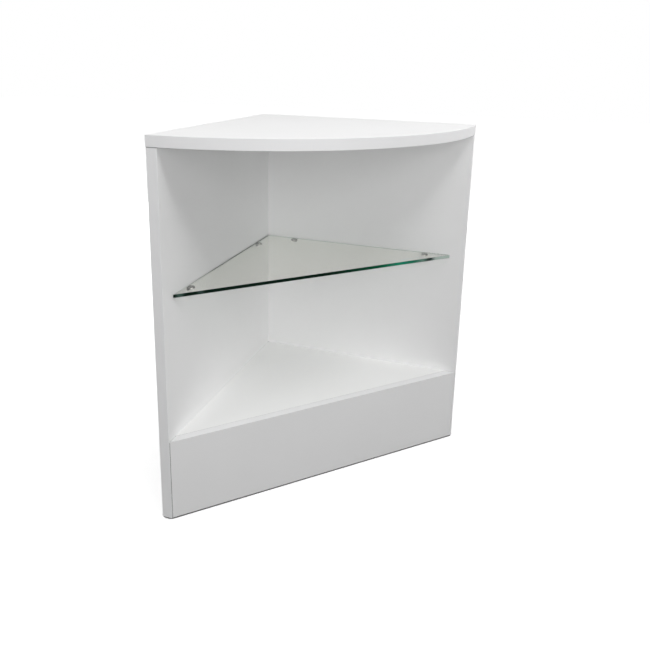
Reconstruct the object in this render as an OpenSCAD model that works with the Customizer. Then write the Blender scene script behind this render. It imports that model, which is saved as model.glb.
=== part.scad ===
/* [Overall] */
// Length of each straight side, from the back corner to the front end of the top
side_len = 600; // [500:10:900]
// Height of the top's upper face above the floor
total_h = 900; // [800:10:1200]
// Height of the deck's upper face above the floor
deck_h = 203; // [120:1:300]
// Height of the glass shelf's upper face above the floor
shelf_h = 547; // [400:1:700]

/* [Boards] */
// Thickness of the two side boards
side_t = 25; // [18:1:32]
// Thickness of the quarter-round top
top_t = 25; // [18:1:40]
// Thickness of the deck
deck_t = 19; // [16:1:25]
// Thickness of the kick board
kick_t = 19; // [16:1:25]
// Front ends of the side boards behind the ends of the top
side_set = 1; // [0:0.5:20]
// Kick board behind the front ends of the side boards, measured along a side
kick_set = 2; // [0:1:60]
// Open joint at each mitred end of the kick board
kick_gap = 1; // [0:0.1:2]

/* [Edge bands] */
// Thickness of the bands on the curved edge and on the front ends
front_band_t = 2; // [1:0.5:3]
// Rounding of the outer arrises of those bands
band_round = 0.9; // [0.2:0.1:1]
// Thickness of the bands on the straight edges of the top and at the back corner
back_band_t = 1; // [0.4:0.2:2]
// Thickness of the band on the kick board's top edge
kick_band_t = 1; // [0.4:0.2:2]

/* [Glass shelf] */
// Thickness of the glass
glass_t = 8; // [4:1:10]
// Front edge of the glass behind the front ends of the side boards, measured along a side
glass_set = 37; // [10:1:90]
// Clearance between the glass and each side board
glass_gap = 1; // [0.5:0.5:5]
// Width of the cut across each corner of the glass
glass_tip = 2; // [1:0.5:8]
// Ground arris along the edges of the glass
glass_arris = 0.5; // [0.2:0.1:1.5]

/* [Shelf supports] */
// Centre of the front supports behind the front ends of the side boards
support_front = 107; // [100:1:200]
// Centre of the rear supports from the inner corner
support_rear = 84; // [40:1:160]
// Diameter of the support's pin
pin_d = 5; // [4:0.5:6]
// Length of the pin inside the board
pin_len = 9; // [7:0.5:12]
// Width of the round platform, which touches the board
platform_w = 16; // [13:0.5:20]
// Thickness of the platform
platform_t = 2.5; // [2:0.25:4]
// Height of the platform's upper face above the pin's axis
platform_rise = 5; // [4.5:0.5:8]
// Width of the shield plate that lies against the board
shield_w = 15; // [10:0.5:16]
// How far the shield plate reaches below the pin's axis, and its lower corners' radius
shield_drop = 3.5; // [3:0.25:5]
// Thickness of the shield plate
shield_t = 1.8; // [1.2:0.1:3]
// Thickness of the gusset under the platform
gusset_t = 2.4; // [1.5:0.1:4]
// Diameter of the clear pad
pad_d = 12; // [10:0.5:13]
// Height of the pad above the platform
pad_h = 1.5; // [1:0.1:3]
// Depth of the dish in the pad's face
pad_dish = 0.3; // [0.1:0.1:0.5]
// Diameter of the pad's stem
stem_d = 4; // [2.5:0.5:5]
// Length of the pad's stem inside the platform
stem_len = 1.6; // [1:0.1:1.8]
// Radial clearance of the soft stem in its hole
stem_gap = 0.2; // [0.1:0.05:0.4]

/* [Dowels] */
// Diameter of the wooden dowels
dowel_d = 8; // [6:1:10]
// Depth of a dowel in the face of a board
dowel_face = 12; // [8:1:13]
// Depth of a dowel in the edge of a board
dowel_edge = 22; // [15:1:30]
// Chamfer at the ends of a dowel
dowel_chamfer = 1; // [0.5:0.25:2]
// Distance between a dowel and the cam beside it
dowel_pitch = 32; // [25:1:64]

/* [Cam fittings] */
// Diameter of a cam
cam_d = 15; // [12:1:18]
// Distance from a cam's centre to the joint
cam_reach = 34; // [24:1:40]
// Depth of a cam beyond the axis of its bolt
cam_below = 5; // [4.5:0.5:6]
// Thickness of the cover cap over a cam
cam_cap_t = 1.2; // [0.8:0.1:2]
// Diameter of the bore for a bolt in the edge of a board
bolt_bore_d = 8; // [7.5:0.5:9]
// Diameter of a bolt's thread
bolt_thread_d = 5; // [4:0.5:6]
// Length of a bolt's thread in the face of a board
bolt_thread_len = 11; // [8:0.5:13]
// Diameter of a bolt's collar and shank
bolt_shank_d = 6; // [5:0.5:7]
// Diameter of a bolt's head
bolt_head_d = 6.4; // [5:0.2:7]
// Diameter of the neck behind a bolt's head
bolt_neck_d = 3.6; // [3:0.2:4.5]
// Rear cams of the top joint from the back corner
top_cam_rear = 100; // [80:1:150]
// Front cams of the top joint behind the front ends of the side boards
top_cam_front = 80; // [60:1:150]
// Rear cams of the deck joint from the inner corner
deck_cam_rear = 80; // [75:1:110]
// Front cams of the deck joint behind the front tips of the deck
deck_cam_front = 120; // [100:1:180]

/* [Corner screws] */
// Number of screws through the left board into the back board
corner_screws_n = 4; // [3:1:6]
// Distance from the ends of the boards to the first and the last screw
corner_screw_end = 60; // [45:1:90]
// Length of a screw
corner_screw_len = 66; // [50:1:75]
// Diameter of a screw
corner_screw_d = 7; // [5:0.5:7.5]
// Diameter of a screw's head
corner_head_d = 10; // [9:0.5:12]
// Height of a screw's countersunk head
corner_head_h = 3; // [2:0.5:4]
// Width across flats of the socket in a screw's head
corner_socket = 4; // [3:0.5:5]
// Diameter of the cover cap over a screw
corner_cap_d = 12; // [12:0.5:15]
// Thickness of the cover cap over a screw
corner_cap_t = 1.5; // [1:0.1:2.5]

/* [Kick fixings] */
// Distance between the two dowels of the kick board
kick_dowel_span = 400; // [200:10:420]
// Distance between neighbouring corner blocks
block_pitch = 250; // [100:5:260]
// Length of a corner block along the kick board
block_len = 40; // [36:1:60]
// Width and height of a corner block
block_w = 18; // [16:1:24]
// Wall of a corner block
block_wall = 4; // [3:0.5:5]
// Diameter of the block screws
block_screw_d = 4; // [3:0.5:4.5]
// Diameter of the block screws' heads
block_head_d = 8; // [7:0.5:8]
// Depth of the block screws in the boards
block_screw_in = 12; // [8:1:14]
// Length of each slot of the cross recess in the block screws' heads
recess_len = 4.6; // [3.5:0.1:5]
// Width of each slot of the cross recess
recess_w = 1.1; // [0.8:0.1:1.4]
// Depth of the cross recess
recess_depth = 1.2; // [0.8:0.1:1.3]

/* [Floor glides] */
// Height of a glide's head, which lifts the boards off the floor
glide_h = 3; // [2.5:0.5:8]
// Diameter of a glide
glide_d = 17; // [12:1:18]
// Rounding of a glide's lower edge
glide_round = 1.2; // [0.5:0.1:1.5]
// End glides from the ends of the side boards
glide_end = 60; // [30:1:120]
// Distance between the two glides of the kick board
glide_span = 400; // [200:10:500]
// Diameter of a glide's nail
nail_d = 2; // [1.5:0.1:2.5]
// Length of a nail inside the board
nail_len = 14; // [8:1:20]
// Diameter of a nail's head inside the glide
nail_head_d = 5; // [4:0.5:7]
// Thickness of a nail's head
nail_head_t = 0.8; // [0.5:0.1:1]

/* [Fits] */
// Radial clearance of what is pressed or screwed into a bore
press_fit = 0.05; // [0.02:0.01:0.1]
// Clearance past the end of what sits in a blind bore
bore_end = 0.5; // [0.2:0.1:1]

/* [Hidden] */

// Smoothness of the large curved edge, of fittings and of small round details
curve_fn = 240;
fitting_fn = 48;
detail_fn = 24;
// How far a cutting shape passes the face that it opens
cut = 1;
// Slope of the mitre between the kick board and a side board
diagonal = sqrt(2);

// Heights of the boards
side_h = total_h - top_t - glide_h;
side_top = glide_h + side_h;
deck_low = deck_h - deck_t;
deck_mid = deck_h - deck_t / 2;
glass_low = shelf_h - glass_t;
pin_z = glass_low - pad_h - platform_rise;

// Distances along a side from the back corner
side_front = side_len - side_set;
core_front = side_front - front_band_t;
top_core_r = side_len - front_band_t;
support_at = [side_front - support_front, side_t + support_rear];
top_cam_at = [top_cam_rear, side_front - top_cam_front];
top_dowel_at = [top_cam_rear + dowel_pitch, side_front - top_cam_front - dowel_pitch];

// A diagonal line is named by the sum of its distances from the two outer faces
kick_line = side_t + side_front - kick_set;
deck_line = kick_line - kick_t * diagonal;
glass_line = side_t + side_front - glass_set;
deck_front = deck_line - side_t;
deck_cam_at = [side_t + deck_cam_rear, deck_front - deck_cam_front];
deck_dowel_at = [side_t + deck_cam_rear + dowel_pitch, deck_front - deck_cam_front - dowel_pitch];

// Heights of the corner screws and of the dowels halfway between them
corner_step = (side_h - 2 * corner_screw_end) / (corner_screws_n - 1);
corner_screw_z = [for (i = [0 : corner_screws_n - 1]) glide_h + corner_screw_end + i * corner_step];
corner_dowel_z = [for (i = [0 : corner_screws_n - 2]) corner_screw_z[i] + corner_step / 2];

glide_at = [glide_end, (glide_end + side_front - glide_end) / 2, side_front - glide_end];
block_at = [-block_pitch, 0, block_pitch];

// Plan frame: X and Y are the distances from the outer faces of the left and the back board
module plan() {
    translate([-side_len / 2, side_len / 2, 0]) mirror([0, 1, 0]) children();
}

// The same place at the other side board
module other_side() {
    mirror([1, -1, 0]) children();
}

module both_sides() {
    children();
    other_side() children();
}

// Frame of the kick board: X along it, Y out of its front face
module at_kick(x = 0) {
    translate([kick_line / 2, kick_line / 2, 0]) rotate([0, 0, -45]) translate([x, 0, 0]) children();
}

// Turns a shape that stands along Z so that it lies along X
module along_x() {
    rotate([0, 90, 0]) children();
}

// Edge band profile: thickness along X, width along Y, both outer arrises rounded
module band_profile(t, w) {
    square([t - band_round, w]);
    translate([0, band_round]) square([t, w - 2 * band_round]);
    for (y = [band_round, w - band_round])
        translate([t - band_round, y]) circle(r = band_round, $fn = detail_fn);
}

// A dowel along Z, with its joint at zero and its face end below
module dowel() {
    r = dowel_d / 2 - press_fit;
    rotate_extrude($fn = fitting_fn) polygon([
        [0, -dowel_face],
        [r - dowel_chamfer, -dowel_face],
        [r, -dowel_face + dowel_chamfer],
        [r, dowel_edge - dowel_chamfer],
        [r - dowel_chamfer, dowel_edge],
        [0, dowel_edge]
    ]);
}

// The bores for a dowel in both boards
module dowel_bore() {
    translate([0, 0, -dowel_face - bore_end])
        cylinder(d = dowel_d, h = dowel_face + dowel_edge + 2 * bore_end, $fn = fitting_fn);
}

// A cam along Z around the axis of its bolt, which comes along X; its face is up
module cam(face) {
    r = cam_d / 2 - press_fit;
    slot_w = bolt_neck_d / 2;
    difference() {
        translate([0, 0, -cam_below]) cylinder(r = r, h = cam_below + face, $fn = fitting_fn);
        along_x() cylinder(d = bolt_bore_d - 1, h = cam_d, $fn = fitting_fn);
        sphere(d = bolt_bore_d - 1, $fn = fitting_fn);
        for (a = [45, 135])
            rotate([0, 0, a]) translate([-cam_d / 3, -slot_w / 2, face - cam_cap_t])
                cube([cam_d / 1.5, slot_w, cam_cap_t + cut]);
    }
}

module cam_bore(face) {
    translate([0, 0, -cam_below])
        cylinder(d = cam_d, h = cam_below + face + cut, $fn = fitting_fn);
}

// A cam bolt along Z: the joint is at zero, the thread below and the head at the cam
module cam_bolt() {
    thread_r = bolt_thread_d / 2 - press_fit;
    shank_r = bolt_shank_d / 2;
    neck_r = bolt_neck_d / 2;
    shank_end = cam_reach - cam_d / 2;
    neck_end = cam_reach - bolt_head_d / 2 + neck_r / 2;
    rotate_extrude($fn = fitting_fn) polygon([
        [0, -bolt_thread_len],
        [thread_r - press_fit, -bolt_thread_len],
        [thread_r, -bolt_thread_len + thread_r],
        [thread_r, 0],
        [shank_r, 0],
        [shank_r, shank_end - shank_r + neck_r],
        [neck_r, shank_end],
        [neck_r, neck_end],
        [0, neck_end]
    ]);
    translate([0, 0, cam_reach]) sphere(d = bolt_head_d, $fn = fitting_fn);
}

// The thread bore in the face of one board and the bolt bore in the edge of the other
module bolt_bore() {
    translate([0, 0, -bolt_thread_len - bore_end])
        cylinder(d = bolt_thread_d, h = bolt_thread_len + bore_end + cut, $fn = fitting_fn);
    cylinder(d = bolt_bore_d, h = cam_reach, $fn = fitting_fn);
}

// Places a top fitting at the joint under the top, pointing down
module at_top_joint(along) {
    translate([side_t / 2, along, side_top]) mirror([0, 0, 1]) children();
}

// Places a deck fitting at the joint with the left board, pointing into the deck
module at_deck_joint(along) {
    translate([side_t, along, deck_mid]) along_x() children();
}

// Places a kick fitting at the joint between kick board and deck, pointing into the deck
module at_kick_joint(x) {
    at_kick(x) translate([0, -kick_t, deck_mid]) rotate([90, 0, 0]) children();
}

// Places a cam in the outer face of the left board
module at_top_cam(along) {
    translate([side_t / 2, along, side_top - cam_reach]) rotate([0, -90, 0]) children();
}

// Places a cam in the underside of the deck, its bolt coming from the left board
module at_deck_cam(along) {
    translate([side_t + cam_reach, along, deck_mid]) rotate([180, 0, 180]) children();
}

// Places a corner screw or dowel at the joint of the two side boards, pointing into the back board
module at_corner(z) {
    translate([side_t, side_t / 2, z]) along_x() children();
}

// Connecting screw along Z: the joint is at zero, and its head is sunk in the left board
module corner_screw() {
    r = corner_screw_d / 2 - press_fit;
    head_top = -side_t + corner_cap_t;
    tip = head_top + corner_screw_len;
    difference() {
        rotate_extrude($fn = fitting_fn) polygon([
            [0, head_top],
            [corner_head_d / 2 - press_fit, head_top],
            [r, head_top + corner_head_h],
            [r, tip - 2 * r],
            [r / 2, tip],
            [0, tip]
        ]);
        translate([0, 0, head_top - cut])
            cylinder(d = corner_socket / cos(30), h = corner_head_h - bore_end + cut, $fn = 6);
    }
}

module corner_screw_bore() {
    head_top = -side_t + corner_cap_t;
    translate([0, 0, head_top])
        cylinder(d = corner_screw_d, h = corner_screw_len + bore_end, $fn = fitting_fn);
    translate([0, 0, head_top])
        cylinder(d1 = corner_head_d, d2 = corner_screw_d, h = corner_head_h, $fn = fitting_fn);
    translate([0, 0, -side_t - cut])
        cylinder(d = corner_cap_d, h = corner_cap_t + cut, $fn = fitting_fn);
}

// Bores that both side boards share
module side_bores() {
    for (at = top_cam_at) {
        at_top_joint(at) bolt_bore();
        at_top_cam(at) cam_bore(side_t / 2);
    }
    for (at = top_dowel_at)
        at_top_joint(at) dowel_bore();
    for (at = deck_cam_at)
        at_deck_joint(at) bolt_bore();
    for (at = deck_dowel_at)
        at_deck_joint(at) dowel_bore();
    for (at = support_at)
        translate([side_t, at, pin_z]) along_x() pin_bore();
    for (at = glide_at)
        translate([side_t / 2, at, glide_h]) nail_bore();
}

// Bores of the joint between the two side boards
module corner_bores() {
    for (z = corner_screw_z)
        at_corner(z) corner_screw_bore();
    for (z = corner_dowel_z)
        at_corner(z) dowel_bore();
}

module left_panel() {
    color("whitesmoke") plan() difference() {
        translate([0, back_band_t, glide_h]) cube([side_t, core_front - back_band_t, side_h]);
        side_bores();
        corner_bores();
    }
}

module back_panel() {
    color("whitesmoke") plan() difference() {
        translate([side_t, 0, glide_h]) cube([core_front - side_t, side_t, side_h]);
        other_side() side_bores();
        corner_bores();
    }
}

module top_panel() {
    color("whitesmoke") plan() difference() {
        intersection() {
            translate([0, 0, side_top]) cylinder(r = top_core_r, h = top_t, $fn = curve_fn);
            translate([back_band_t, back_band_t, side_top]) cube([side_len, side_len, top_t]);
        }
        both_sides() {
            for (at = top_cam_at)
                at_top_joint(at) bolt_bore();
            for (at = top_dowel_at)
                at_top_joint(at) dowel_bore();
        }
    }
}

module deck_panel() {
    color("whitesmoke") plan() difference() {
        translate([0, 0, deck_low]) linear_extrude(deck_t)
            polygon([[side_t, side_t], [deck_front, side_t], [side_t, deck_front]]);
        both_sides() {
            for (at = deck_cam_at) {
                at_deck_joint(at) bolt_bore();
                at_deck_cam(at) cam_bore(deck_t / 2);
            }
            for (at = deck_dowel_at)
                at_deck_joint(at) dowel_bore();
        }
        kick_dowel_bores();
        for (x = block_at)
            at_block(x) block_screw_bores();
    }
}

// Outline of the kick board, with mitred ends that stop short of the side boards
module kick_outline() {
    end = side_t + kick_gap;
    polygon([
        [end, kick_line - end],
        [kick_line - end, end],
        [deck_line - end, end],
        [end, deck_line - end]
    ]);
}

module kick_dowel_bores() {
    for (side = [-1, 1])
        at_kick_joint(side * kick_dowel_span / 2) dowel_bore();
}

module kick_panel() {
    color("whitesmoke") plan() difference() {
        translate([0, 0, glide_h]) linear_extrude(deck_h - kick_band_t - glide_h) kick_outline();
        kick_dowel_bores();
        for (x = block_at)
            at_block(x) block_screw_bores();
        for (side = [-1, 1])
            at_kick_glide(side) nail_bore();
    }
}

module left_front_band() {
    color("gainsboro") plan() translate([side_t, core_front, glide_h])
        rotate([0, 0, 90]) linear_extrude(side_h) band_profile(front_band_t, side_t);
}

module left_rear_band() {
    color("gainsboro") plan() translate([0, 0, glide_h]) cube([side_t, back_band_t, side_h]);
}

module back_end_band() {
    color("gainsboro") plan() translate([core_front, 0, glide_h])
        linear_extrude(side_h) band_profile(front_band_t, side_t);
}

module top_curved_band() {
    color("gainsboro") plan() translate([0, 0, side_top])
        rotate_extrude(angle = 90, $fn = curve_fn)
            translate([top_core_r, 0]) band_profile(front_band_t, top_t);
}

// A straight band of the top along the left side, ended by the curved band
module straight_top_band(start) {
    intersection() {
        translate([0, start, side_top]) cube([back_band_t, side_len, top_t]);
        translate([0, 0, side_top]) cylinder(r = top_core_r, h = top_t, $fn = curve_fn);
    }
}

module top_left_band() {
    color("gainsboro") plan() straight_top_band(0);
}

module top_back_band() {
    color("gainsboro") plan() other_side() straight_top_band(back_band_t);
}

module kick_top_band() {
    color("gainsboro") plan() translate([0, 0, deck_h - kick_band_t])
        linear_extrude(kick_band_t) kick_outline();
}

// Outline of the glass, drawn in by the arris: a right triangle with all three corners cut
module glass_outline(inset) {
    near = side_t + glass_gap + inset;
    line = glass_line - inset * diagonal;
    far = line - near - glass_tip;
    polygon([
        [near + glass_tip, near],
        [far, near],
        [far, near + glass_tip],
        [near + glass_tip, far],
        [near, far],
        [near, near + glass_tip]
    ]);
}

module glass_shelf() {
    color("mediumaquamarine", 0.5) plan() translate([0, 0, glass_low]) hull() {
        linear_extrude(glass_t) glass_outline(glass_arris);
        translate([0, 0, glass_arris]) linear_extrude(glass_t - 2 * glass_arris) glass_outline(0);
    }
}

module pin_bore() {
    translate([0, 0, -pin_len - bore_end])
        cylinder(d = pin_d, h = pin_len + bore_end + cut, $fn = fitting_fn);
}

// Shield plate seen from the room, with X pointing down
module shield_outline() {
    corner = shield_w / 2 - shield_drop;
    translate([-platform_rise, -shield_w / 2]) square([platform_rise, shield_w]);
    translate([0, -corner]) square([shield_drop, 2 * corner]);
    for (side = [-1, 1])
        translate([0, side * corner]) circle(r = shield_drop, $fn = fitting_fn);
}

// Shelf support: X points away from the board, and the pin's axis is at zero
module shelf_support() {
    pin_r = pin_d / 2 - press_fit;
    platform_low = platform_rise - platform_t;
    difference() {
        union() {
            along_x() rotate_extrude($fn = fitting_fn) polygon([
                [0, -pin_len],
                [pin_r - bore_end, -pin_len],
                [pin_r, -pin_len + bore_end],
                [pin_r, shield_t],
                [0, shield_t]
            ]);
            along_x() linear_extrude(shield_t) shield_outline();
            translate([0, 0, platform_low]) linear_extrude(platform_t) {
                translate([platform_w / 2, 0]) circle(d = platform_w, $fn = fitting_fn);
                translate([0, -shield_w / 2]) square([platform_w / 2, shield_w]);
            }
            translate([0, gusset_t / 2, 0]) rotate([90, 0, 0]) linear_extrude(gusset_t)
                polygon([
                    [0, -shield_drop + gusset_t / 2],
                    [shield_t, -shield_drop + gusset_t / 2],
                    [platform_w - gusset_t, platform_low],
                    [platform_w - gusset_t, platform_rise - platform_t / 2],
                    [0, platform_rise - platform_t / 2]
                ]);
        }
        translate([platform_w / 2, 0, platform_rise - stem_len - bore_end / 2])
            cylinder(d = stem_d, h = stem_len + bore_end / 2 + cut, $fn = fitting_fn);
    }
}

// Clear pad with a stem below and a shallow dish in its face
module support_pad() {
    stem_r = stem_d / 2 - stem_gap;
    translate([platform_w / 2, 0, platform_rise]) rotate_extrude($fn = fitting_fn) polygon([
        [0, -stem_len],
        [stem_r, -stem_len],
        [stem_r, 0],
        [pad_d / 2, 0],
        [pad_d / 2, pad_h - pad_dish],
        [pad_d / 2 - pad_dish, pad_h],
        [pad_d / 2 - 3 * pad_dish, pad_h],
        [0, pad_h - pad_dish]
    ]);
}

// Places a support or pad on the left board, at the distance from the back corner
module at_support(along) {
    translate([side_t, along, pin_z]) children();
}

module left_front_support() {
    color("silver") plan() at_support(support_at[0]) shelf_support();
}

module left_rear_support() {
    color("silver") plan() at_support(support_at[1]) shelf_support();
}

module back_front_support() {
    color("silver") plan() other_side() at_support(support_at[0]) shelf_support();
}

module back_rear_support() {
    color("silver") plan() other_side() at_support(support_at[1]) shelf_support();
}

module left_front_pad() {
    color("azure", 0.6) plan() at_support(support_at[0]) support_pad();
}

module left_rear_pad() {
    color("azure", 0.6) plan() at_support(support_at[1]) support_pad();
}

module back_front_pad() {
    color("azure", 0.6) plan() other_side() at_support(support_at[0]) support_pad();
}

module back_rear_pad() {
    color("azure", 0.6) plan() other_side() at_support(support_at[1]) support_pad();
}

module corner_screws() {
    color("silver") plan() for (z = corner_screw_z)
        at_corner(z) corner_screw();
}

// Cap in the mouth of a corner screw's bore, flush with the outer face
module corner_screw_caps() {
    color("white") plan() for (z = corner_screw_z)
        at_corner(z) translate([0, 0, -side_t])
            cylinder(r = corner_cap_d / 2 - press_fit, h = corner_cap_t, $fn = fitting_fn);
}

module corner_dowels() {
    color("burlywood") plan() for (z = corner_dowel_z)
        at_corner(z) dowel();
}

module top_cams() {
    color("silver") plan() both_sides() for (at = top_cam_at)
        at_top_cam(at) cam(side_t / 2 - cam_cap_t);
}

module top_cam_bolts() {
    color("silver") plan() both_sides() for (at = top_cam_at)
        at_top_joint(at) cam_bolt();
}

module top_cam_caps() {
    color("white") plan() both_sides() for (at = top_cam_at)
        at_top_cam(at) translate([0, 0, side_t / 2 - cam_cap_t])
            cylinder(r = cam_d / 2 - press_fit, h = cam_cap_t, $fn = fitting_fn);
}

module top_dowels() {
    color("burlywood") plan() both_sides() for (at = top_dowel_at)
        at_top_joint(at) dowel();
}

module deck_cams() {
    color("silver") plan() both_sides() for (at = deck_cam_at)
        at_deck_cam(at) cam(deck_t / 2 - bore_end);
}

module deck_cam_bolts() {
    color("silver") plan() both_sides() for (at = deck_cam_at)
        at_deck_joint(at) cam_bolt();
}

module deck_dowels() {
    color("burlywood") plan() both_sides() for (at = deck_dowel_at)
        at_deck_joint(at) dowel();
}

module kick_dowels() {
    color("burlywood") plan() for (side = [-1, 1])
        at_kick_joint(side * kick_dowel_span / 2) dowel();
}

// Inner edge under the deck behind the kick board: Y points out, Z up
module at_block(x) {
    at_kick(x) translate([0, -kick_t, deck_low]) children();
}

// Places a screw that goes up into the deck, its head under the block's floor
module up_screw() {
    translate([-block_len / 4, -block_w / 2, -block_wall]) children();
}

// Places a screw that goes into the kick board
module kick_screw() {
    translate([block_len / 4, -block_wall, -block_w / 2]) rotate([-90, 0, 0]) children();
}

// Screw along Z: its head's seat is at zero, below the wall that it clamps
module block_screw() {
    r = block_screw_d / 2 - press_fit;
    head_r = block_head_d / 2;
    tip = block_wall + block_screw_in;
    difference() {
        rotate_extrude($fn = fitting_fn) polygon([
            [0, -r],
            [head_r - r / 2, -r],
            [head_r, 0],
            [r, 0],
            [r, tip - 2 * r],
            [0, tip]
        ]);
        for (a = [0, 90])
            rotate([0, 0, a]) translate([-recess_len / 2, -recess_w / 2, -r - cut])
                cube([recess_len, recess_w, cut + recess_depth]);
    }
}

module block_screw_bore() {
    translate([0, 0, -cut])
        cylinder(d = block_screw_d, h = cut + block_wall + block_screw_in + bore_end, $fn = fitting_fn);
}

module block_screw_bores() {
    up_screw() block_screw_bore();
    kick_screw() block_screw_bore();
}

// Moulded block: two walls against the boards, two end webs and one middle web
module corner_block() {
    difference() {
        translate([-block_len / 2, -block_w, -block_w]) cube([block_len, block_w, block_w]);
        for (side = [-1, 1]) {
            bay = block_len / 2 - block_wall;
            translate([side * block_len / 4 - (bay - block_wall / 2) / 2, -block_w - cut, -block_w - cut])
                cube([bay - block_wall / 2, block_w + cut - block_wall, block_w + cut - block_wall]);
        }
        block_screw_bores();
    }
}

module corner_blocks() {
    color("white") plan() for (x = block_at)
        at_block(x) corner_block();
}

module block_screws() {
    color("silver") plan() for (x = block_at)
        at_block(x) {
            up_screw() block_screw();
            kick_screw() block_screw();
        }
}

module at_kick_glide(side) {
    at_kick(side * glide_span / 2) translate([0, -kick_t / 2, glide_h]) children();
}

// Places a shape under both side boards and under the kick board
module at_glides() {
    both_sides() for (at = glide_at)
        translate([side_t / 2, at, glide_h]) children();
    for (side = [-1, 1])
        at_kick_glide(side) children();
}

module nail_bore() {
    cylinder(d = nail_d, h = nail_len + bore_end, $fn = fitting_fn);
}

// Nail along Z, its head below the boards' lower edge inside the glide
module nail() {
    r = nail_d / 2 - press_fit;
    head_low = -glide_h / 2;
    rotate_extrude($fn = fitting_fn) polygon([
        [0, head_low],
        [nail_head_d / 2, head_low],
        [nail_head_d / 2, head_low + nail_head_t],
        [r, head_low + nail_head_t],
        [r, nail_len - nail_d],
        [0, nail_len]
    ]);
}

// Glide head moulded round its nail, with a rounded lower edge
module glide() {
    r = glide_d / 2;
    head_low = -glide_h / 2 - press_fit;
    difference() {
        union() {
            translate([0, 0, -glide_h + glide_round]) cylinder(r = r, h = glide_h - glide_round, $fn = fitting_fn);
            rotate_extrude($fn = fitting_fn) {
                translate([0, -glide_h]) square([r - glide_round, glide_h]);
                translate([r - glide_round, -glide_h + glide_round]) circle(r = glide_round, $fn = detail_fn);
            }
        }
        translate([0, 0, head_low])
            cylinder(r = nail_head_d / 2 + press_fit, h = nail_head_t + 2 * press_fit, $fn = fitting_fn);
        translate([0, 0, head_low]) cylinder(d = nail_d, h = glide_h, $fn = fitting_fn);
    }
}

module floor_glides() {
    color("dimgray") plan() at_glides() glide();
}

module glide_nails() {
    color("silver") plan() at_glides() nail();
}

left_panel();
back_panel();
top_panel();
deck_panel();
kick_panel();
left_front_band();
left_rear_band();
back_end_band();
top_curved_band();
top_left_band();
top_back_band();
kick_top_band();
glass_shelf();
left_front_support();
left_rear_support();
back_front_support();
back_rear_support();
left_front_pad();
left_rear_pad();
back_front_pad();
back_rear_pad();
corner_screws();
corner_screw_caps();
corner_dowels();
top_cams();
top_cam_bolts();
top_cam_caps();
top_dowels();
deck_cams();
deck_cam_bolts();
deck_dowels();
kick_dowels();
corner_blocks();
block_screws();
floor_glides();
glide_nails();
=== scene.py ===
"""Corner display counter: finishes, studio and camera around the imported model."""
import math

import bpy
from mathutils import Matrix, Vector

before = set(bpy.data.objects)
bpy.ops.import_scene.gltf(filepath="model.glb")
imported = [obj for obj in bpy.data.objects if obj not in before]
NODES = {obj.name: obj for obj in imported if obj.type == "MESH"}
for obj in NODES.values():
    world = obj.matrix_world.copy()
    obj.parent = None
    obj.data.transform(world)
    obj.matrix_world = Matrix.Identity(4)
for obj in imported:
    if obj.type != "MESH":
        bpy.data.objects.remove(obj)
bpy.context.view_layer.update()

# Directions in the frame; the open front faces along the diagonal
X_AXIS = (1.0, 0.0, 0.0)
Y_AXIS = (0.0, 1.0, 0.0)
Z_AXIS = (0.0, 0.0, 1.0)
HALF_SQUARE = math.sqrt(0.5)
DIAGONAL = (HALF_SQUARE, -HALF_SQUARE, 0.0)

# The camera of the photograph, in metres and degrees
CAMERA_TARGET = Vector((0.0, -0.0338, 0.6906))
CAMERA_AZIMUTH = 17.85
CAMERA_ELEVATION = 14.08
CAMERA_DISTANCE = 1.4841
CAMERA_ROLL = 1.29
SENSOR_MM = 36.0
LENS_MM = 35.14
SHIFT_Y = -0.1615

# Linear colours of the boards and their bands
WHITE = (0.905, 0.905, 0.905)
# The deck's white is painted lighter and the kick's darker than the boards' own white: painted
# light and painted shade on one white melamine
LIT_DECK_WHITE = (0.965, 0.965, 0.96)
SHADED_KICK_WHITE = (0.855, 0.855, 0.855)
BAND_WHITE = (0.89, 0.89, 0.895)
CHIP_DARK = (0.30, 0.18, 0.09)
CHIP_LIGHT = (0.68, 0.50, 0.31)

# Linear colours of the glass: its body, the light that it lets by, its depth and its arrises
GLASS_CLEAR = (0.95, 0.935, 0.905)
GLASS_LETS_BY = (0.975, 0.985, 0.975)
GLASS_DEPTH = (0.40, 0.74, 0.35)
ARRIS_GREY = (0.80, 0.85, 0.82)

# Linear colours of the fittings
PAD_GREY = (0.70, 0.72, 0.72)
BEECH_DARK = (0.47, 0.29, 0.15)
BEECH_LIGHT = (0.74, 0.56, 0.36)
ZINC_STEEL = (0.62, 0.63, 0.66)
CAST_ZINC = (0.50, 0.50, 0.52)
BLOCK_WHITE = (0.74, 0.74, 0.73)
GLIDE_BLACK = (0.045, 0.045, 0.048)

# Painted reflection on the nickel: tones from a face turned to the eye, pale, to one turned away,
# dark, as if mirroring dark surroundings
NICKEL_PAINTED_REFLECTION = [
    (0.12, (0.42, 0.41, 0.39)), (0.35, (0.05, 0.049, 0.047)), (0.70, (0.012, 0.012, 0.012)),
]
# A dark tint painted on the nickel's rim reflection
NICKEL_PAINTED_RIM = (0.05, 0.05, 0.05)

# Shares of an edge of the glass for each metre of x or y, counted from the middle
EDGE_SHARES = 1.85
# Greens along its front edge, from the left tip to the right one: the glass's own green with
# painted reflections that darken and brighten it
EDGE_DARK = (0.002, 0.013, 0.007)
# Painted glints near the left tip
GLINT = (0.045, 0.085, 0.070)
FAINT_GLINT = (0.028, 0.055, 0.045)
# A painted dark reflection of a support
DARK_REFLECTION = (0.03, 0.05, 0.044)
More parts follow.
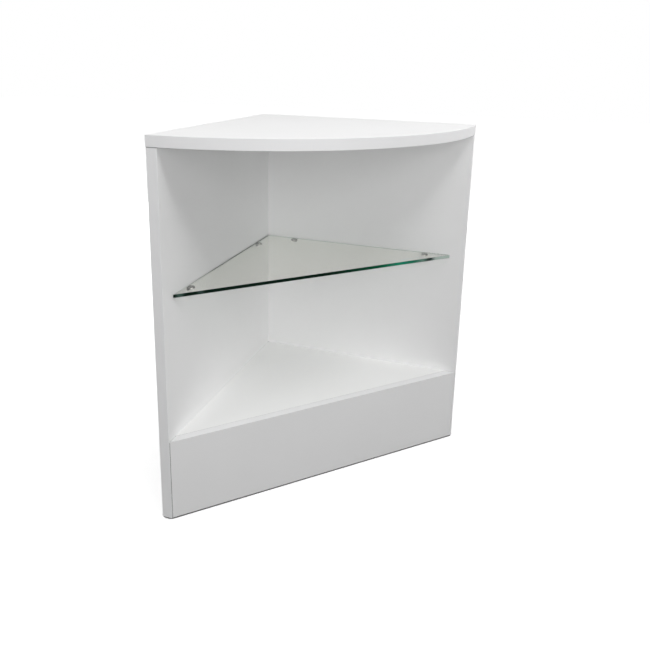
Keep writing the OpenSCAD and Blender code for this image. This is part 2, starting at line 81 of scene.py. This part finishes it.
# A pale painted reflection at the right tip
PALE_REFLECTION = (0.47, 0.555, 0.51)
FRONT_EDGE_GREENS_AND_REFLECTIONS = [
    (0.0, EDGE_DARK), (0.008, GLINT), (0.020, GLINT), (0.030, EDGE_DARK),
    (0.062, EDGE_DARK), (0.070, FAINT_GLINT), (0.080, FAINT_GLINT), (0.090, EDGE_DARK),
    (0.50, (0.002, 0.015, 0.008)), (0.60, (0.003, 0.042, 0.021)), (0.69, (0.002, 0.087, 0.040)),
    (0.77, (0.018, 0.26, 0.15)), (0.83, (0.016, 0.165, 0.098)), (0.865, (0.15, 0.27, 0.22)),
    (0.885, DARK_REFLECTION), (0.90, DARK_REFLECTION), (0.92, PALE_REFLECTION), (1.0, PALE_REFLECTION),
]
# Painted light and shade along its left edge: greys from the front tip, pale, to the inner corner,
# dark
LEFT_EDGE_LIGHT_AND_SHADE = [(0.1, (0.70, 0.72, 0.71)), (0.4, (0.16, 0.165, 0.16)), (1.0, (0.02, 0.022, 0.02))]
# Painted reflection and shade along its back edge: greys from the inner corner, paler, to the right
# tip, darker, and how far they cover it
BACK_EDGE_REFLECTION_AND_SHADE = [(0.0, (0.50, 0.53, 0.54)), (0.4, (0.34, 0.37, 0.37)), (1.0, (0.10, 0.13, 0.12))]
BACK_EDGE_COVER = 0.7

# Shade inside a narrow joint, its reach and the height up to which the side boards have it
JOINT_SHADE = [(0.38, 0.02), (0.49, 1.0)]
JOINT_REACH = 0.006
JOINTS_BELOW = 0.2
# Width and shade of the painted shadow line along the closed seam under the top and of the one at
# the deck's front edge
TOP_SEAM_WIDTH, TOP_SEAM_SHADE = 0.0012, 0.25
DECK_SEAM_WIDTH, DECK_SEAM_SHADE = 0.0005, 0.4
# Widths of the bevels on boards and on bands
BOARD_BEVEL = 0.0005
BAND_BEVEL = 0.0003

# Part of its range that a noise mostly fills
NOISE_FROM, NOISE_TO = 0.3, 0.7

# Softboxes: azimuth from the front and elevation in degrees, distance, width, height and power
LIGHT_AIM = Vector((-0.05, 0.05, 0.6))
SOFTBOXES = [
    ("key_high", 52.0, 62.0, 3.0, 0.6, 0.6, 10.4),
    ("key_low", 49.0, 52.0, 3.0, 0.5, 0.5, 13.3),
    ("diagonal_fill", 45.0, 15.0, 3.0, 1.6, 1.6, 20.2),
    ("front_fill", 16.0, 10.0, 3.4, 2.0, 2.0, 17.1),
    ("right_high", 72.0, 40.0, 3.0, 1.2, 1.2, 6.8),
    ("right_side", 120.0, 30.0, 3.0, 1.4, 1.4, 11.3),
    ("left_high", -40.0, 50.0, 3.0, 1.2, 1.2, 26.2),
    ("right_rear", 150.0, 30.0, 3.2, 1.6, 1.6, 27.6),
    ("low_rear_right", 202.0, -3.0, 3.2, 2.2, 0.9, 17.0),
    ("low_rear_left", 248.0, -3.0, 3.2, 2.2, 0.9, 34.0),
]
# Strength of the world's light
AMBIENT = 0.12

# The floor: half its width, and its greys to the lens, in the painted contact shadow and to the
# lamps
FLOOR_HALF = 12.0
FLOOR_WHITE = 0.90
FLOOR_CONTACT_SHADOW = 0.02
FLOOR_GREY = (0.12, 0.12, 0.12)
# Its glow at each distance from the middle, which makes up for what the lamps leave
GLOW_REACH = 6.0
FLOOR_GLOW = [(0.4, 0.42), (0.7, 0.58), (1.6, 0.66), (3.2, 0.86), (6.0, 0.90)]
# The painted contact shadow, a dark line where the counter stands on it: shade and reach
CONTACT_SHADE = [(0.42, 0.0), (0.56, 1.0)]
CONTACT_REACH = 0.02


def towards(azimuth, elevation):
    """Unit vector at an azimuth from the front and an elevation, both in degrees."""
    turn, rise = math.radians(azimuth), math.radians(elevation)
    level = math.cos(rise)
    return Vector((math.sin(turn) * level, -math.cos(turn) * level, math.sin(rise)))


def add_object(name, data):
    """A new object in the scene."""
    added = bpy.data.objects.new(name, data)
    bpy.context.scene.collection.objects.link(added)
    return added


def make_camera():
    """A camera on a sphere round its target, rolled about its own axis."""
    back = towards(CAMERA_AZIMUTH, CAMERA_ELEVATION)
    right = (-back).cross(Vector(Z_AXIS)).normalized()
    up = right.cross(-back)
    turn = Matrix((right, up, back)).transposed().to_4x4()
    roll = Matrix.Rotation(math.radians(CAMERA_ROLL), 4, "Z")
    data = bpy.data.cameras.new("camera")
    data.sensor_width = SENSOR_MM
    data.lens = LENS_MM
    data.shift_y = SHIFT_Y
    camera = add_object("camera", data)
    camera.matrix_world = Matrix.Translation(CAMERA_TARGET + back * CAMERA_DISTANCE) @ turn @ roll
    bpy.context.scene.camera = camera


class Nodes:
    """A short way to write the node tree of a material or of the world."""

    def __init__(self, owner, output="ShaderNodeOutputMaterial"):
        owner.use_nodes = True
        self.owner = owner
        self.tree = owner.node_tree
        self.tree.nodes.clear()
        self.output = self.add(output)

    def link(self, source, target):
        self.tree.links.new(source, target)

    def add(self, kind, **values):
        """A node, with each value linked to, or set on, its input or property of that name."""
        node = self.tree.nodes.new(kind)
        for key, value in values.items():
            socket = node.inputs.get(key.replace("_", " "))
            if socket is None:
                setattr(node, key, value)
            elif hasattr(value, "links"):
                self.link(value, socket)
            elif socket.type == "RGBA":
                socket.default_value = (*value, 1.0)
            else:
                socket.default_value = value
        return node

    def place(self):
        """Object coordinates in metres."""
        return self.add("ShaderNodeTexCoord").outputs["Object"]

    def normal(self):
        """The surface's own normal."""
        return self.add("ShaderNodeTexCoord").outputs["Normal"]

    def stretched(self, scale):
        """Object coordinates stretched by a factor along each axis."""
        return self.add("ShaderNodeMapping", Vector=self.place(), Scale=scale).outputs["Vector"]

    def noise(self, scale, detail=4.0, roughness=0.5, vector=None):
        """Noise with so many features per metre."""
        return self.add(
            "ShaderNodeTexNoise",
            Vector=vector or self.place(),
            Scale=scale,
            Detail=detail,
            Roughness=roughness,
        ).outputs["Fac"]

    def ramp(self, factor, stops):
        """A colour or grey for each position of the factor."""
        node = self.add("ShaderNodeValToRGB", Fac=factor)
        elements = node.color_ramp.elements
        while len(elements) < len(stops):
            elements.new(0.5)
        for element, (position, value) in zip(elements, stops):
            red, green, blue = value if isinstance(value, tuple) else (value, value, value)
            element.position = position
            element.color = (red, green, blue, 1.0)
        return node.outputs["Color"]

    def spread(self, noise, low, high):
        """One value where a noise is low, changing to another where it is high."""
        return self.ramp(noise, [(NOISE_FROM, low), (NOISE_TO, high)])

    def math(self, operation, first, second=None):
        node = self.add("ShaderNodeMath", operation=operation)
        for socket, value in zip(node.inputs, (first, second)):
            if isinstance(value, float):
                socket.default_value = value
            elif value is not None:
                self.link(value, socket)
        return node.outputs["Value"]

    def along(self, direction, vector=None):
        """How far a place, or any other vector, reaches in a direction."""
        vector = vector or self.place()
        node = self.add("ShaderNodeVectorMath", operation="DOT_PRODUCT", Vector=vector)
        node.inputs[1].default_value = direction
        return node.outputs["Value"]

    def facing(self, direction, limit=0.5):
        """One where the surface faces a direction, also where a ray meets it from inside."""
        inside = self.add("ShaderNodeNewGeometry").outputs["Backfacing"]
        outward = self.math("SUBTRACT", 1.0, self.math("MULTIPLY", inside, 2.0))
        reach = self.math("MULTIPLY", self.along(direction, self.normal()), outward)
        return self.math("GREATER_THAN", reach, limit)

    def scaled(self, colour, factor):
        """A colour times a grey factor."""
        node = self.add("ShaderNodeVectorMath", operation="SCALE", Vector=colour, Scale=factor)
        return node.outputs["Vector"]

    def occlusion(self, reach):
        """How open a place is within a short reach."""
        return self.add("ShaderNodeAmbientOcclusion", samples=8, Distance=reach).outputs["AO"]

    def bump(self, height, strength, distance, normal=None):
        """A normal that follows a height, over another bump's normal if one is given."""
        more = {} if normal is None else {"Normal": normal}
        return self.add(
            "ShaderNodeBump", Height=height, Strength=strength, Distance=distance, **more
        ).outputs["Normal"]

    def principled(self, **values):
        return self.add("ShaderNodeBsdfPrincipled", **values)

    def mixed(self, factor, first, second):
        """The first shader where the factor is zero and the second where it is one."""
        node = self.add("ShaderNodeMixShader", Fac=factor)
        self.link(first.outputs[0], node.inputs[1])
        self.link(second.outputs[0], node.inputs[2])
        return node

    def finish(self, shader):
        self.link(shader.outputs[0], self.output.inputs["Surface"])
        return self.owner


def material_nodes(name):
    """The node tree of a new material."""
    return Nodes(bpy.data.materials.new(name))


def tinted(nodes, colour, spread, scale):
    """A colour that wanders a little from place to place."""
    darker = tuple(c * (1.0 - spread) for c in colour)
    lighter = tuple(min(c * (1.0 + spread), 1.0) for c in colour)
    return nodes.spread(nodes.noise(scale, detail=5.0), darker, lighter)


def joint_shaded(nodes, colour, seam=None, below=None):
    """A colour with painted shade inside a narrow joint and a painted shadow line along a closed
    seam.
    """
    shade = nodes.ramp(nodes.occlusion(JOINT_REACH), JOINT_SHADE)
    if below is not None:
        above = nodes.math("GREATER_THAN", nodes.along(Z_AXIS), below)
        shade = nodes.math("MAXIMUM", shade, above)
    colour = nodes.scaled(colour, shade)
    if seam is not None:
        direction, start, seam_shade = seam
        before = nodes.math("LESS_THAN", nodes.along(direction), start)
        colour = nodes.scaled(colour, nodes.ramp(before, [(0.0, seam_shade), (1.0, 1.0)]))
    return colour


def melamine_shader(nodes, white, seam, below):
    """White melamine facing: a fine pearl texture and a faint handling haze."""
    grain = nodes.noise(1500.0, detail=3.0)
    waviness = nodes.noise(22.0, detail=2.0)
    haze = nodes.noise(6.0, detail=6.0, roughness=0.62)
    normal = nodes.bump(grain, strength=0.10, distance=0.0003)
    normal = nodes.bump(waviness, strength=0.02, distance=0.002, normal=normal)
    colour = tinted(nodes, white, spread=0.012, scale=4.0)
    return nodes.principled(
        Base_Color=joint_shaded(nodes, colour, seam, below),
        Roughness=nodes.ramp(haze, [(0.35, 0.36), (0.75, 0.50)]),
        Normal=normal,
        IOR=1.5,
    )


def chipboard_shader(nodes):
    """Raw particle board: pressed flakes of several browns with open pores."""
    flakes = nodes.add("ShaderNodeTexVoronoi", feature="F1", Vector=nodes.place(), Scale=420.0)
    chips = nodes.noise(260.0, detail=8.0, roughness=0.7)
    tone = nodes.math("ADD", chips, flakes.outputs["Distance"])
    colour = nodes.ramp(tone, [(0.55, CHIP_DARK), (1.05, CHIP_LIGHT)])
    return nodes.principled(
        Base_Color=joint_shaded(nodes, colour),
        Roughness=0.85,
        Normal=nodes.bump(tone, strength=0.6, distance=0.0006),
    )


def board_material(name, face_normal, white=WHITE, seam=None, below=None):
    """Melamine on the two faces of a board and raw chipboard on its edges and in its bores."""
    nodes = material_nodes(name)
    across = nodes.math("ABSOLUTE", nodes.along(face_normal, nodes.normal()))
    faced = nodes.math("GREATER_THAN", across, 0.5)
    melamine = melamine_shader(nodes, white, seam, below)
    return nodes.finish(nodes.mixed(faced, chipboard_shader(nodes), melamine))


def band_material(name, stretch, seam=None):
    """White edge band: fine milling lines along its length."""
    nodes = material_nodes(name)
    lines = nodes.noise(900.0, detail=2.0, vector=nodes.stretched(stretch))
    grain = nodes.noise(1100.0, detail=2.0)
    normal = nodes.bump(lines, strength=0.08, distance=0.0002)
    normal = nodes.bump(grain, strength=0.05, distance=0.0002, normal=normal)
    colour = tinted(nodes, BAND_WHITE, spread=0.012, scale=9.0)
    return nodes.finish(nodes.principled(
        Base_Color=joint_shaded(nodes, colour, seam),
        Roughness=nodes.spread(nodes.noise(30.0, detail=5.0), 0.34, 0.46),
        Normal=normal,
        IOR=1.5,
    ))


def glass_body(nodes):
    """Clear float glass with a few faint smears, which lets shadow and diffuse rays by."""
    smears = nodes.noise(18.0, detail=8.0, roughness=0.7, vector=nodes.stretched((1.0, 2.2, 1.0)))
    clear = nodes.principled(
        Base_Color=GLASS_CLEAR,
        Roughness=nodes.ramp(smears, [(0.55, 0.0), (0.85, 0.035)]),
        IOR=1.52,
        Transmission_Weight=1.0,
    )
    rays = nodes.add("ShaderNodeLightPath").outputs
    unseen = nodes.math("MAXIMUM", rays["Is Shadow Ray"], rays["Is Diffuse Ray"])
    return nodes.mixed(unseen, clear, nodes.add("ShaderNodeBsdfTransparent", Color=GLASS_LETS_BY))


def edge_shader(nodes, colour, streaks, roughness, specular, **more):
    """One face of the ground edge of the glass."""
    return nodes.principled(
        Base_Color=colour,
        Roughness=nodes.spread(streaks, *roughness),
        Specular_IOR_Level=specular,
        **more,
    )


def glass_material():
    """Float glass with a deep green front edge and grey ground edges at the walls, all carrying
    painted reflections and shade.
    """
    nodes = material_nodes("float_glass")
    streaks = nodes.noise(400.0, detail=4.0, vector=nodes.stretched((1.0, 1.0, 0.05)))
    lengthwise = nodes.math("ADD", nodes.along((EDGE_SHARES, 0.0, 0.0)), 0.5)
    depthwise = nodes.math("ADD", nodes.along((0.0, EDGE_SHARES, 0.0)), 0.5)
    # The edges' colours hold painted reflections, glints and shade along their length
    front = edge_shader(
        nodes, nodes.ramp(lengthwise, FRONT_EDGE_GREENS_AND_REFLECTIONS), streaks, roughness=(0.10, 0.22), specular=0.02,
        Normal=nodes.bump(streaks, strength=0.1, distance=0.0002),
    )
    left = edge_shader(
        nodes, nodes.ramp(depthwise, LEFT_EDGE_LIGHT_AND_SHADE), streaks, roughness=(0.25, 0.40), specular=0.1,
    )
    back = edge_shader(
        nodes, nodes.ramp(lengthwise, BACK_EDGE_REFLECTION_AND_SHADE), streaks, roughness=(0.25, 0.40), specular=0.1,
    )
    arris_colour = tinted(nodes, ARRIS_GREY, spread=0.05, scale=60.0)
    arris = edge_shader(nodes, arris_colour, streaks, roughness=(0.45, 0.60), specular=0.3)
    upper = nodes.facing((0.0, HALF_SQUARE, HALF_SQUARE), limit=0.9)
    lower = nodes.facing((0.0, HALF_SQUARE, -HALF_SQUARE), limit=0.9)
    back_cover = nodes.math("MULTIPLY", nodes.facing(Y_AXIS, limit=0.9), BACK_EDGE_COVER)
    dressed = nodes.mixed(nodes.math("MAXIMUM", upper, lower), glass_body(nodes), arris)
    dressed = nodes.mixed(nodes.facing((-1.0, 0.0, 0.0)), dressed, left)
    dressed = nodes.mixed(back_cover, dressed, back)
    dressed = nodes.mixed(nodes.facing(DIAGONAL), dressed, front)
    depth = nodes.add("ShaderNodeVolumeAbsorption", Color=GLASS_DEPTH, Density=3.0)
    nodes.link(depth.outputs[0], nodes.output.inputs["Volume"])
    return nodes.finish(dressed)


def metal_material(name, colour, roughness, scale, depth):
    """Plated or cast metal with a fine surface grain."""
    nodes = material_nodes(name)
    grain = nodes.noise(scale, detail=4.0)
    return nodes.finish(nodes.principled(
        Base_Color=tinted(nodes, colour, spread=0.05, scale=scale / 8.0),
        Metallic=1.0,
        Roughness=nodes.spread(nodes.noise(scale / 4.0), *roughness),
        Normal=nodes.bump(grain, strength=0.15, distance=depth),
    ))


def nickel_material():
    """Bright nickel plate with a painted reflection: it darkens where it turns away, as if
    mirroring dark surroundings.
    """
    nodes = material_nodes("nickel")
    turned = nodes.add("ShaderNodeLayerWeight", Blend=0.5).outputs["Facing"]
    cloud = nodes.math("MULTIPLY", nodes.noise(160.0, detail=3.0), 0.15)
    grain = nodes.noise(1200.0, detail=4.0)
    return nodes.finish(nodes.principled(
        Base_Color=nodes.ramp(nodes.math("ADD", turned, cloud), NICKEL_PAINTED_REFLECTION),
        Specular_Tint=NICKEL_PAINTED_RIM,
        Metallic=1.0,
        Roughness=nodes.spread(nodes.noise(300.0), 0.10, 0.20),
        Normal=nodes.bump(grain, strength=0.15, distance=0.00005),
    ))


def plastic_material(name, colour, roughness, scale):
    """Moulded plastic with a fine spark-eroded texture."""
    nodes = material_nodes(name)
    grain = nodes.noise(scale, detail=3.0)
    return nodes.finish(nodes.principled(
        Base_Color=tinted(nodes, colour, spread=0.03, scale=scale / 10.0),
        Roughness=nodes.spread(nodes.noise(scale / 6.0), *roughness),
        Normal=nodes.bump(grain, strength=0.2, distance=0.0001),
        IOR=1.5,
    ))


def pad_material():
    """Clear soft plastic, slightly hazy."""
    nodes = material_nodes("clear_pad")
    return nodes.finish(nodes.principled(
        Base_Color=tinted(nodes, PAD_GREY, spread=0.02, scale=200.0),
        Roughness=nodes.spread(nodes.noise(400.0), 0.04, 0.12),
        IOR=1.46,
        Transmission_Weight=0.9,
    ))


def wood_material():
    """Turned beech: long grain with short dark flecks."""
    nodes = material_nodes("beech")
    grain = nodes.noise(700.0, detail=6.0, roughness=0.6)
    flecks = nodes.noise(1800.0, detail=2.0)
    tone = nodes.math(
        "ADD", nodes.math("MULTIPLY", grain, 0.7), nodes.math("MULTIPLY", flecks, 0.3)
    )
    return nodes.finish(nodes.principled(
        Base_Color=nodes.ramp(tone, [(0.35, BEECH_DARK), (0.65, BEECH_LIGHT)]),
        Roughness=0.6,
        Normal=nodes.bump(grain, strength=0.3, distance=0.0002),
    ))


def named(ending):
    """The nodes whose names end so."""
    return [name for name in NODES if name.endswith(ending)]


def reach(name, direction):
    """How far a node reaches in a direction."""
    return max(Vector(direction).dot(vertex.co) for vertex in NODES[name].data.vertices)


def dress(names, material):
    """Gives nodes one material."""
    for name in names:
        NODES[name].data.materials.clear()
        NODES[name].data.materials.append(material)


def soften(names, width):
    """A tiny bevel that lets the arrises of a board or band catch the light."""
    for name in names:
        bevel = NODES[name].modifiers.new("arris", "BEVEL")
        bevel.width = width
        bevel.segments = 2
        bevel.limit_method = "ANGLE"
        bevel.angle_limit = math.radians(40.0)


def dress_boards():
    """Boards and their bands, with painted shadow lines under the top and at the deck's front edge,
    and painted shade in narrow joints.
    """
    top_seam_shadow = (Z_AXIS, reach("left_front_band", Z_AXIS) - TOP_SEAM_WIDTH, TOP_SEAM_SHADE)
    deck_seam_shadow = (DIAGONAL, reach("deck_panel", DIAGONAL) - DECK_SEAM_WIDTH, DECK_SEAM_SHADE)
    for name, across in (("left_panel", X_AXIS), ("back_panel", Y_AXIS)):
        dress([name], board_material(name, across, seam=top_seam_shadow, below=JOINTS_BELOW))
    dress(["top_panel"], board_material("top_board", Z_AXIS))
    # Painted light on the deck's white and painted shade on the kick's
    dress(["deck_panel"], board_material("deck_board", Z_AXIS, LIT_DECK_WHITE, deck_seam_shadow))
    dress(["kick_panel"], board_material("kick_board", DIAGONAL, SHADED_KICK_WHITE))
    upright = band_material("upright_band", stretch=(1.0, 1.0, 0.02), seam=top_seam_shadow)
    level = band_material("level_band", stretch=(0.1, 0.1, 1.0))
    dress(["left_front_band", "left_rear_band", "back_end_band"], upright)
    dress(["top_curved_band", "top_left_band", "top_back_band", "kick_top_band"], level)
    soften(named("_panel"), BOARD_BEVEL)
    soften(named("_band"), BAND_BEVEL)


def dress_fittings():
    """The glass shelf with its supports, and the fasteners, caps, blocks and glides."""
    dress(["glass_shelf"], glass_material())
    dress(named("_support"), nickel_material())
    dress(named("_pad"), pad_material())
    dress(["corner_dowels", "top_dowels", "deck_dowels", "kick_dowels"], wood_material())
    zinc = metal_material("zinc_steel", ZINC_STEEL, (0.28, 0.42), scale=900.0, depth=0.00005)
    cast = metal_material("cast_zinc", CAST_ZINC, (0.42, 0.58), scale=700.0, depth=0.0002)
    cap = plastic_material("cap", WHITE, (0.38, 0.48), scale=1500.0)
    block = plastic_material("block", BLOCK_WHITE, (0.42, 0.55), scale=1300.0)
    glide = plastic_material("glide", GLIDE_BLACK, (0.45, 0.60), scale=1300.0)
    dress(["corner_screws", "top_cam_bolts", "deck_cam_bolts", "block_screws", "glide_nails"], zinc)
    dress(["top_cams", "deck_cams"], cast)
    dress(["corner_screw_caps", "top_cam_caps"], cap)
    dress(["corner_blocks"], block)
    dress(["floor_glides"], glide)


def seen_by_lens(nodes):
    """One for rays that come from the camera, or through glass or off metal."""
    rays = nodes.add("ShaderNodeLightPath").outputs
    straight = nodes.math("MAXIMUM", rays["Is Camera Ray"], rays["Is Glossy Ray"])
    return nodes.math("MAXIMUM", straight, rays["Is Transmission Ray"])


def make_floor():
    """A pale floor that shows white where no shadow falls on it, with a painted contact shadow
    where the counter stands.
    """
    mesh = bpy.data.meshes.new("floor")
    quarters = ((-1, -1), (1, -1), (1, 1), (-1, 1))
    corners = [(x * FLOOR_HALF, y * FLOOR_HALF, 0.0) for x, y in quarters]
    mesh.from_pydata(corners, [], [(0, 1, 2, 3)])
    floor = add_object("floor", mesh)
    nodes = material_nodes("pale_floor")
    distance = nodes.add("ShaderNodeVectorMath", operation="LENGTH", Vector=nodes.place())
    share = nodes.math("DIVIDE", distance.outputs["Value"], GLOW_REACH)
    glow = nodes.ramp(share, [(place / GLOW_REACH, value) for place, value in FLOOR_GLOW])
    shade = nodes.ramp(nodes.occlusion(CONTACT_REACH), CONTACT_SHADE)
    shown = nodes.principled(
        Base_Color=nodes.ramp(shade, [(0.0, FLOOR_CONTACT_SHADOW), (1.0, FLOOR_WHITE)]),
        Roughness=0.9,
        Emission_Color=(1.0, 1.0, 1.0),
        Emission_Strength=nodes.math("MULTIPLY", glow, shade),
    )
    lighting = nodes.principled(Base_Color=FLOOR_GREY, Roughness=0.9)
    mesh.materials.append(nodes.finish(nodes.mixed(seen_by_lens(nodes), lighting, shown)))


def make_world():
    """White to the lens, a soft grey light to everything else."""
    world = bpy.data.worlds.new("studio")
    bpy.context.scene.world = world
    nodes = Nodes(world, "ShaderNodeOutputWorld")
    light, backdrop = (
        nodes.add("ShaderNodeBackground", Color=(1.0, 1.0, 1.0), Strength=strength)
        for strength in (AMBIENT, 1.0)
    )
    nodes.finish(nodes.mixed(seen_by_lens(nodes), light, backdrop))


def add_softbox(name, azimuth, elevation, distance, width, height, watts):
    """An area light on a sphere round the counter, facing its middle."""
    away = towards(azimuth, elevation)
    data = bpy.data.lights.new(name, "AREA")
    data.shape = "RECTANGLE"
    data.size = width
    data.size_y = height
    data.energy = watts
    light = add_object(name, data)
    light.location = LIGHT_AIM + away * distance
    light.rotation_euler = (-away).to_track_quat("-Z", "Y").to_euler()


make_camera()
dress_boards()
dress_fittings()
make_floor()
make_world()
for softbox in SOFTBOXES:
    add_softbox(*softbox)
bpy.context.scene.view_settings.view_transform = "Standard"
